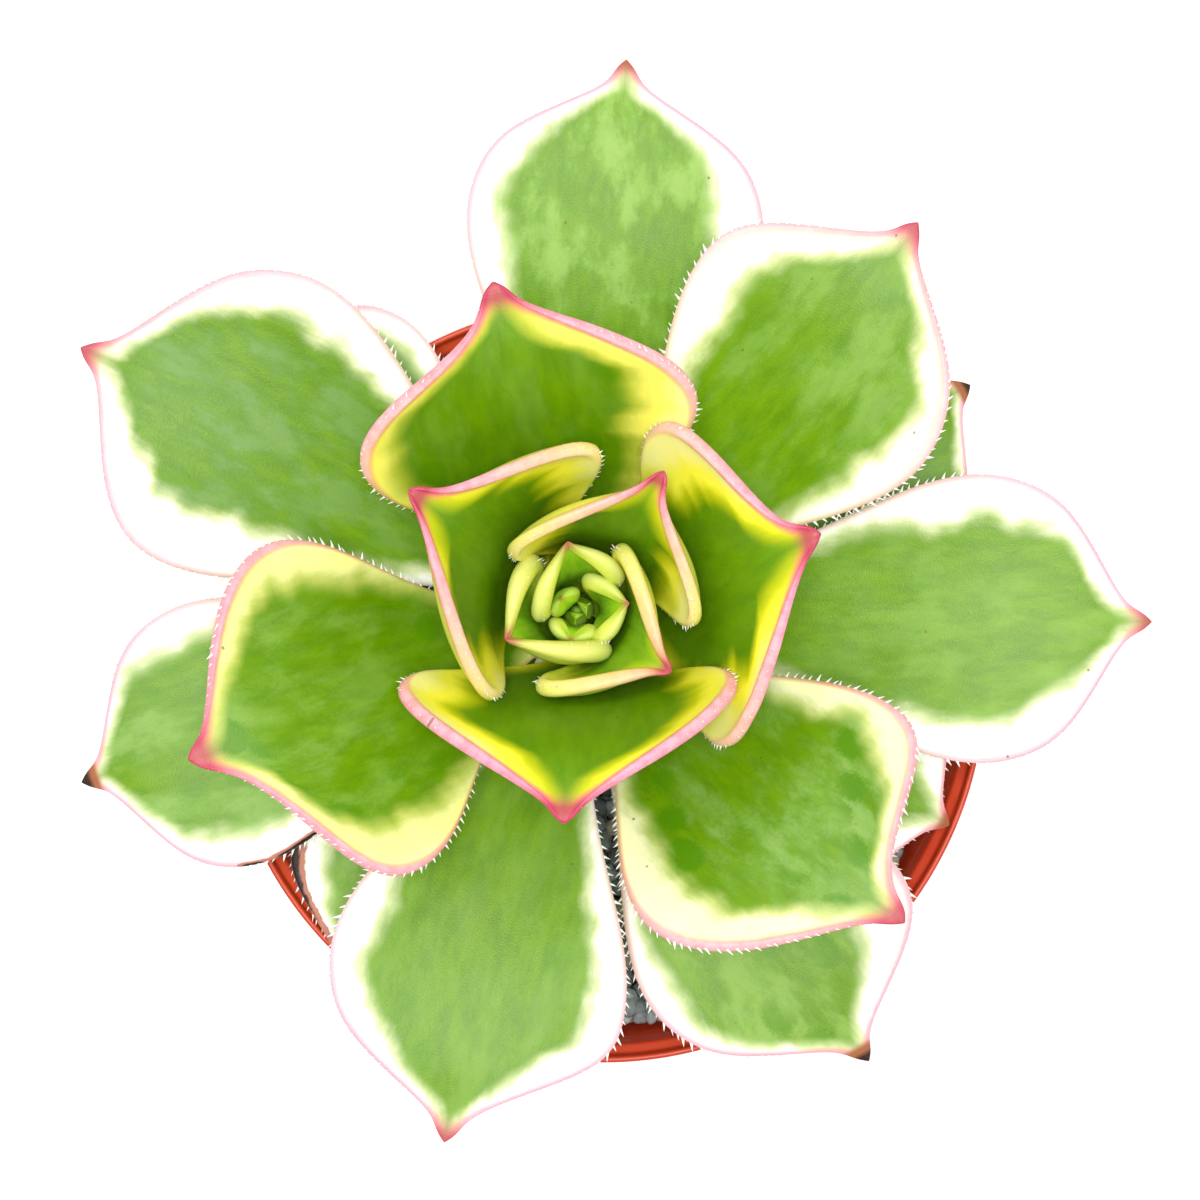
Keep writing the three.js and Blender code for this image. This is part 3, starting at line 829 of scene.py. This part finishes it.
def add_tooth(corners, faces, at, heading, ahead, lift, reach):
    """One tooth: a flattened cone, broad at its foot and hooked towards the leaf's tip."""
    start = len(corners)
    stages = ((0.0, 0.33), (0.36, 0.18), (0.74, 0.085))
    corners.append(at)
    for share, radius in stages:
        centre = at + heading * reach * share + ahead * reach * 0.14 * share**2
        for k in range(TOOTH_SIDES):
            turn = 2 * math.pi * k / TOOTH_SIDES
            wide = ahead * math.cos(turn) + lift * math.sin(turn) * 0.6
            corners.append(centre + wide * radius * reach)
    corners.append(at + heading * reach + ahead * reach * 0.14)
    end = len(corners) - 1
    for k in range(TOOTH_SIDES):
        after = (k + 1) % TOOTH_SIDES
        faces.append((start, start + 1 + k, start + 1 + after))
        for stage in range(len(stages) - 1):
            a = start + 1 + stage * TOOTH_SIDES
            b = a + TOOTH_SIDES
            faces.append((a + k, b + k, b + after, a + after))
        last = start + 1 + (len(stages) - 1) * TOOTH_SIDES
        faces.append((last + k, end, last + after))


def leaf(node, skin, tooth):
    number = int(node.split("_")[1])
    blade = blade_surface(node, number)
    rise, depth = half_thickness(blade)
    middle, normal = blade["middle"], blade["normal"]
    stations = len(blade["along"])
    bumps = np.array([[ripple(spot, number) for spot in row] for row in middle])
    bumps *= smooth(blade["along"], 0.05, 0.3)[:, None] * (1 - 0.7 * smooth(blade["along"], 0.8, 1))[:, None]
    bumps *= min(1.0, blade["length"] / (45 * MM))
    middle = middle + normal * bumps[..., None]
    upper = middle + normal * rise[..., None]
    under = middle - normal * rise[..., None]

    fields = leaf_fields(blade, depth)
    size = 2 * FACE_POINTS - 2
    pick = list(range(FACE_POINTS)) + list(range(FACE_POINTS - 2, 0, -1))
    on_top = np.array([1.0] * FACE_POINTS + [0.0] * (FACE_POINTS - 2))
    on_top[[0, FACE_POINTS - 1]] = 0.5
    grid = np.concatenate([upper, under[:, FACE_POINTS - 2 : 0 : -1]], axis=1)
    foot_ring = grid[0] + blade["foot"] / np.linalg.norm(blade["foot"]) * FOOT_REACH * MM
    foot_ring = foot_ring.mean(0) + (foot_ring - foot_ring.mean(0)) * 0.8
    tip = middle[-1].mean(0) + (middle[-1].mean(0) - middle[-2].mean(0)) * 0.25
    corners = [foot_ring.mean(0), *foot_ring, *grid.reshape(-1, 3), tip]
    faces = closed_skin(stations + 1, size)

    edges = [grid[:, 0], grid[:, FACE_POINTS - 1]]
    outward = [middle[:, 0] - middle[:, 3], middle[:, -1] - middle[:, -4]]
    tooth_corners, tooth_faces = teeth(blade, edges, outward)
    shift = len(corners)
    skin_faces = len(faces)
    corners = corners + tooth_corners
    faces = faces + [tuple(v + shift for v in face) for face in tooth_faces]
    piece = mesh_object(node + "_blade", corners, faces, [skin, tooth])
    kinds = [0] * skin_faces + [1] * len(tooth_faces)
    piece.data.polygons.foreach_set("material_index", kinds)

    rest = len(tooth_corners)
    for name, values in fields.items():
        body = np.broadcast_to(values, depth.shape)[:, pick]
        first, last = body[0, :1], body[-1, :1]
        store(piece, name, np.concatenate([first, body[0], body.ravel(), last, np.zeros(rest)]))
    faced = np.tile(on_top, stations + 1)
    store(piece, "upper", np.concatenate([[0.5], faced, [0.5], np.zeros(rest)]))
    wide = blade["across"][None, :] * blade["half"][:, None] / MM
    long = np.repeat(blade["along"][:, None] * blade["length"] / MM, FACE_POINTS, axis=1)
    far = np.full_like(long, number * 7.3)
    spots = np.stack([wide, long, far], axis=2)[:, pick]
    spots = np.concatenate([spots[:1, 0], spots[0], spots.reshape(-1, 3), spots[-1:, 0], np.zeros((rest, 3))])
    store(piece, "blade", spots, "FLOAT_VECTOR")
    return put(piece, "leaf", node)


# ---- pot and filling


def pot(material):
    """The thin-walled nursery pot, turned from its profile, with its drain holes cut."""
    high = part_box("pot")[1]
    rim, top = high.x, high.z
    base = POT_BASE_RADIUS
    slope = (rim - LIP_WIDTH - COLLAR_STEP - base) / top
    foot = top - COLLAR_HEIGHT
    lip_foot = top - LIP_DEPTH
    floor_round = POT_FLOOR + 1 * MM

    def at(z):
        return base + slope * z

    def collar(z, out=0.0):
        return (at(z) + COLLAR_STEP + out, z)

    def inside(z):
        return (at(z) - POT_WALL, z)

    profile = [
        (0, POT_FOOT_RISE), (base - FOOT_RING, POT_FOOT_RISE), (base - FOOT_RING + 0.6 * MM, 0),
        (base - 1 * MM, 0), (base, 1 * MM), (at(foot - 0.6 * MM), foot - 0.6 * MM), collar(foot),
        collar(top - 5.5 * MM), collar(top - 5.2 * MM, COLLAR_BEAD),
        collar(top - 4.8 * MM, COLLAR_BEAD), collar(top - 4.5 * MM),
        collar(lip_foot), (rim, lip_foot + 0.2 * MM), (rim, top),
        (rim - LIP_WIDTH, top), (rim - LIP_WIDTH - 0.1 * MM, lip_foot),
        (at(top) + COLLAR_STEP - POT_WALL, lip_foot - 0.4 * MM),
        collar(foot, -POT_WALL), inside(foot - SHOULDER),
        inside(floor_round), (at(POT_FLOOR) - POT_WALL - 1 * MM, POT_FLOOR), (0, POT_FLOOR),
    ]

    def warp(x, y, z):
        turn = math.atan2(y, x)
        out = 1 + 0.0022 * math.sin(2 * turn + 0.6) * (z / top) ** 2
        out += 0.0006 * math.sin(5 * turn + 2.0) * (z / top) ** 3
        return (x * out, y * out, z)

    corners, faces = lathe(rounded(profile, MOULDED_RADIUS, 3), POT_SIDES, warp)
    piece = mesh_object("nursery_pot", corners, faces, [material])
    drill_corners, drill_faces = [], []
    ring = base - DRAIN_INSET
    for i in range(DRAIN_HOLES):
        turn = 2 * math.pi * i / DRAIN_HOLES
        add_drill(drill_corners, drill_faces, ring * math.cos(turn), ring * math.sin(turn))
    drill = mesh_object("drill", drill_corners, drill_faces, [material], smooth=False)
    cut = piece.modifiers.new("holes", "BOOLEAN")
    cut.object = drill
    cut.operation = "DIFFERENCE"
    bake(piece)
    bpy.data.objects.remove(drill)
    piece.data.set_sharp_from_angle(angle=math.radians(SHARP_FROM))
    return put(piece, "pot_plastic", "pot")


def add_drill(corners, faces, x, y):
    """One upright rod, capped at both ends, that cuts a drain hole."""
    sides, radius = DRAIN_SIDES, DRAIN_RADIUS
    start = len(corners)
    for z in (-2 * MM, 4 * MM):
        for k in range(sides):
            turn = 2 * math.pi * k / sides
            corners.append((x + radius * math.cos(turn), y + radius * math.sin(turn), z))
    faces.append(tuple(start + k for k in reversed(range(sides))))
    faces.append(tuple(start + sides + k for k in range(sides)))
    for k in range(sides):
        after = (k + 1) % sides
        faces.append((start + k, start + after, start + sides + after, start + sides + k))


def bake(piece):
    """Makes the modifiers' result the piece's own mesh."""
    bpy.context.view_layer.update()
    seen = piece.evaluated_get(bpy.context.evaluated_depsgraph_get())
    mesh = bpy.data.meshes.new_from_object(seen)
    piece.modifiers.clear()
    piece.data = mesh


def potting_mix(material):
    """The block of crumbly mix that fills the pot."""
    low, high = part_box("potting_mix")
    widest = max(high.x, high.y)
    wider = MIX_SIDE_RADIUS - MIX_BASE_RADIUS
    taller = MIX_SIDE_TOP - low.z
    profile = [(0, low.z)]
    profile += [(MIX_BASE_RADIUS * i / 12, low.z) for i in range(1, 13)]
    profile += [(MIX_BASE_RADIUS + wider * i / 26, low.z + taller * i / 26) for i in range(1, 27)]
    profile += [(widest - 0.9 * MM, high.z - 1 * MM)]
    profile += [((widest - 1.4 * MM) * (1 - i / 18), high.z) for i in range(18)]
    profile += [(0, high.z)]

    def crumble(x, y, z):
        at = Vector((x, y, z))
        push = 0.45 * noise.noise(at * 210) + 0.25 * noise.noise(at * 520) - 0.35
        if z > high.z - 0.5 * MM:
            return (x, y, z + push * MM * 1.3)
        if z < low.z + 0.5 * MM:
            return (x, y, z + abs(push) * MM)
        radius = max(math.hypot(x, y), 1e-9)
        out = 1 + push * 0.5 * MM / radius
        return (x * out, y * out, z)

    corners, faces = lathe(profile, MIX_SIDES, crumble)
    return put(mesh_object("potting_mix_block", corners, faces, [material]), "potting_mix", "potting_mix")


def ball(level):
    """A ball of triangles, as an array of unit corners and a list of faces."""
    gold = (1 + 5**0.5) / 2
    corners = [
        (-1, gold, 0), (1, gold, 0), (-1, -gold, 0), (1, -gold, 0), (0, -1, gold), (0, 1, gold),
        (0, -1, -gold), (0, 1, -gold), (gold, 0, -1), (gold, 0, 1), (-gold, 0, -1), (-gold, 0, 1),
    ]
    corners = [np.array(c) / np.linalg.norm(c) for c in corners]
    faces = [
        (0, 11, 5), (0, 5, 1), (0, 1, 7), (0, 7, 10), (0, 10, 11), (1, 5, 9), (5, 11, 4), (11, 10, 2),
        (10, 7, 6), (7, 1, 8), (3, 9, 4), (3, 4, 2), (3, 2, 6), (3, 6, 8), (3, 8, 9), (4, 9, 5),
        (2, 4, 11), (6, 2, 10), (8, 6, 7), (9, 8, 1),
    ]
    for _ in range(level):
        halfway, finer = {}, []

        def between(a, b):
            key = (min(a, b), max(a, b))
            if key not in halfway:
                spot = corners[a] + corners[b]
                corners.append(spot / np.linalg.norm(spot))
                halfway[key] = len(corners) - 1
            return halfway[key]

        for a, b, c in faces:
            ab, bc, ca = between(a, b), between(b, c), between(c, a)
            finer += [(a, ab, ca), (b, bc, ab), (c, ca, bc), (ab, bc, ca)]
        faces = finer
    return np.array(corners), faces


def grain_shapes(count, level, seed):
    """A few worn stones of about unit radius, with flats and dents."""
    unit, faces = ball(level)
    shapes = []
    for i in range(count):
        draw = random.Random(seed + i)
        shift = Vector((draw.uniform(0, 50), draw.uniform(0, 50), draw.uniform(0, 50)))
        swell = np.array([
            1 + 0.34 * noise.noise(Vector(c) * 1.1 + shift) + 0.12 * noise.noise(Vector(c) * 2.6 + shift)
            for c in unit
        ])
        stretch = np.array([draw.uniform(0.85, 1.2), draw.uniform(0.8, 1.1), draw.uniform(0.65, 0.9)])
        shapes.append(unit * swell[:, None] * stretch)
    return shapes, faces


def grit(material):
    """Worn grains laid in two courses over the mix, with a ring of them along the wall in each
    course, kept out of the stem."""
    low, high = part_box("grit_topdressing")
    edge = min(high.x, high.y) - 0.2 * MM
    stem = frame_middle("stem")
    stem_wide = (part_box("stem")[1].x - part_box("stem")[0].x) / 2
    draw = random.Random(GRIT_SEED)
    corners, faces, each, warm = [], [], [], []

    def lay(shape, shape_faces, tone, hue):
        start = len(each)
        corners.append(shape)
        faces.extend((a + start, b + start, c + start) for a, b, c in shape_faces)
        each.extend([tone] * len(shape))
        warm.extend([hue] * len(shape))

    courses = (low.z + LOWER_COURSE[0], *LOWER_COURSE[1:]), (high.z - UPPER_COURSE[0], *UPPER_COURSE[1:])
    for height, pitch, level, seed in courses:
        shapes, shape_faces = grain_shapes(GRAIN_KINDS, level, seed)
        rows = int(edge / (pitch * ROW_SHARE)) + 1
        for row in range(-rows, rows + 1):
            for column in range(-rows - 2, rows + 3):
                x = (column + (row % 2) / 2) * pitch + draw.uniform(-SCATTER, SCATTER) * pitch
                y = row * pitch * ROW_SHARE + draw.uniform(-SCATTER, SCATTER) * pitch
                size = draw.triangular(0.86, 1.62, 1.16) * MM
                spin = Matrix.Rotation(draw.uniform(0, 6.28), 3, "Z")
                spin = spin @ Matrix.Rotation(draw.uniform(-0.5, 0.5), 3, "X")
                choice = draw.randrange(len(shapes))
                z = height + draw.uniform(-0.32, 0.32) * MM
                tone, hue = draw.random(), draw.random()
                outside = math.hypot(x, y) > edge - size * 0.86
                if outside or math.hypot(x - stem[0], y - stem[1]) < stem_wide + size * 0.6:
                    continue
                lay(shapes[choice] @ np.array(spin).T * size + np.array([x, y, z]), shape_faces, tone, hue)
        around = int(2 * math.pi * edge / (pitch * 0.8))
        for k in range(around):
            turn = 2 * math.pi * (k + draw.uniform(-0.3, 0.3)) / around
            size = draw.triangular(0.8, 1.35, 1.0) * MM
            out = edge - size * draw.uniform(0.86, 1.2)
            at = np.array([out * math.cos(turn), out * math.sin(turn), height + draw.uniform(-0.5, 0.2) * MM])
            spin = Matrix.Rotation(draw.uniform(0, 6.28), 3, "Z")
            shape = shapes[draw.randrange(len(shapes))] @ np.array(spin).T * size + at
            lay(shape, shape_faces, draw.random(), draw.random())
    piece = mesh_object("grit_grains", np.concatenate(corners), faces, [material])
    store(piece, "each", each)
    store(piece, "warm", warm)
    return put(piece, "grit", "grit_topdressing")


def stem(material):
    """A short woody stem that carries the leaves' feet, ringed by the scars of lost ones."""
    low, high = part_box("stem")
    x0, y0 = frame_middle("stem")
    wide = (high.x - low.x) / 2
    tall = high.z - low.z
    leaves_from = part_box("leaf_01")[0].z
    slim = wide * STEM_SLIM

    def radius(z):
        if z < leaves_from:
            foot = float(smooth(z, low.z, low.z + 8 * MM))
            neck = float(smooth(z, leaves_from - 7 * MM, leaves_from))
            return (0.4 + 0.6 * foot) * wide * (1 - neck) + slim * neck
        up = (z - leaves_from) / (high.z - leaves_from)
        return slim + (0.5 * MM - slim) * min(1.0, up) ** 0.85

    profile = [(0, low.z)]
    heights = [low.z + tall * i / STEM_STEPS for i in range(STEM_STEPS)]
    profile += [(radius(z), z) for z in heights]
    profile += [(0, high.z)]

    def scarred(x, y, z):
        turn = math.atan2(y, x)
        out = math.hypot(x, y)
        ring = math.sin(z / MM * 2.6 + 2 * turn + 2 * noise.noise(Vector((x, y, z)) * 160))
        out += (0.16 * ring + 0.2 * noise.noise(Vector((x, y, z)) * 420)) * MM * min(1.0, out / (3 * MM))
        return (x0 + out * math.cos(turn), y0 + out * math.sin(turn), z)

    corners, faces = lathe(profile, STEM_SIDES, scarred)
    corners[0] = (x0, y0, low.z)
    corners[-1] = (x0, y0, high.z)
    piece = mesh_object("woody_stem", corners, faces, [material])
    upward = np.array([corner[2] for corner in corners])
    store(piece, "fresh", smooth(upward, leaves_from + 3 * MM, leaves_from + 9 * MM))
    return put(piece, "stem", "stem")


# ---- stage


def floor(material):
    row = FLOOR_CELLS + 1
    steps = [(i / FLOOR_CELLS - 0.5) * 2 * FLOOR_REACH for i in range(row)]
    corners = [(x, y, -FLOOR_DROP) for x in steps for y in steps]
    starts = [i * row + j for i in range(FLOOR_CELLS) for j in range(FLOOR_CELLS)]
    faces = [(a, a + row, a + row + 1, a + 1) for a in starts]
    mesh_object("floor", corners, faces, [material])


def softbox(name, at, size, power):
    data = bpy.data.lights.new(name, "AREA")
    data.shape = "SQUARE"
    data.size = size
    data.energy = power
    lamp = bpy.data.objects.new(name, data)
    lamp.location = at
    lamp.rotation_euler = (Vector(LAMPS_AIM) - Vector(at)).to_track_quat("-Z", "Y").to_euler()
    bpy.context.scene.collection.objects.link(lamp)


def light():
    world = bpy.data.worlds.new("studio")
    world.use_nodes = True
    ground = world.node_tree.nodes["Background"]
    ground.inputs["Color"].default_value = (1.0, 1.0, 1.0, 1.0)
    ground.inputs["Strength"].default_value = SKY_STRENGTH
    bpy.context.scene.world = world
    for lamp in LAMPS:
        softbox(*lamp)


def camera():
    data = bpy.data.cameras.new("camera")
    data.lens = CAMERA_LENS
    data.sensor_width = SENSOR
    data.clip_start = 0.01
    eye = bpy.data.objects.new("camera", data)
    eye.location = CAMERA_AT
    bpy.context.scene.collection.objects.link(eye)
    bpy.context.scene.camera = eye


camera()
light()
bpy.context.scene.view_settings.view_transform = "Standard"
floor(floor_look())
pot(pot_look())
potting_mix(mix_look())
grit(grit_look())
stem(stem_look())
LEAF_LOOKS = leaf_look(), tooth_look()
for leaf_node in LEAF_NODES:
    leaf(leaf_node, *LEAF_LOOKS)
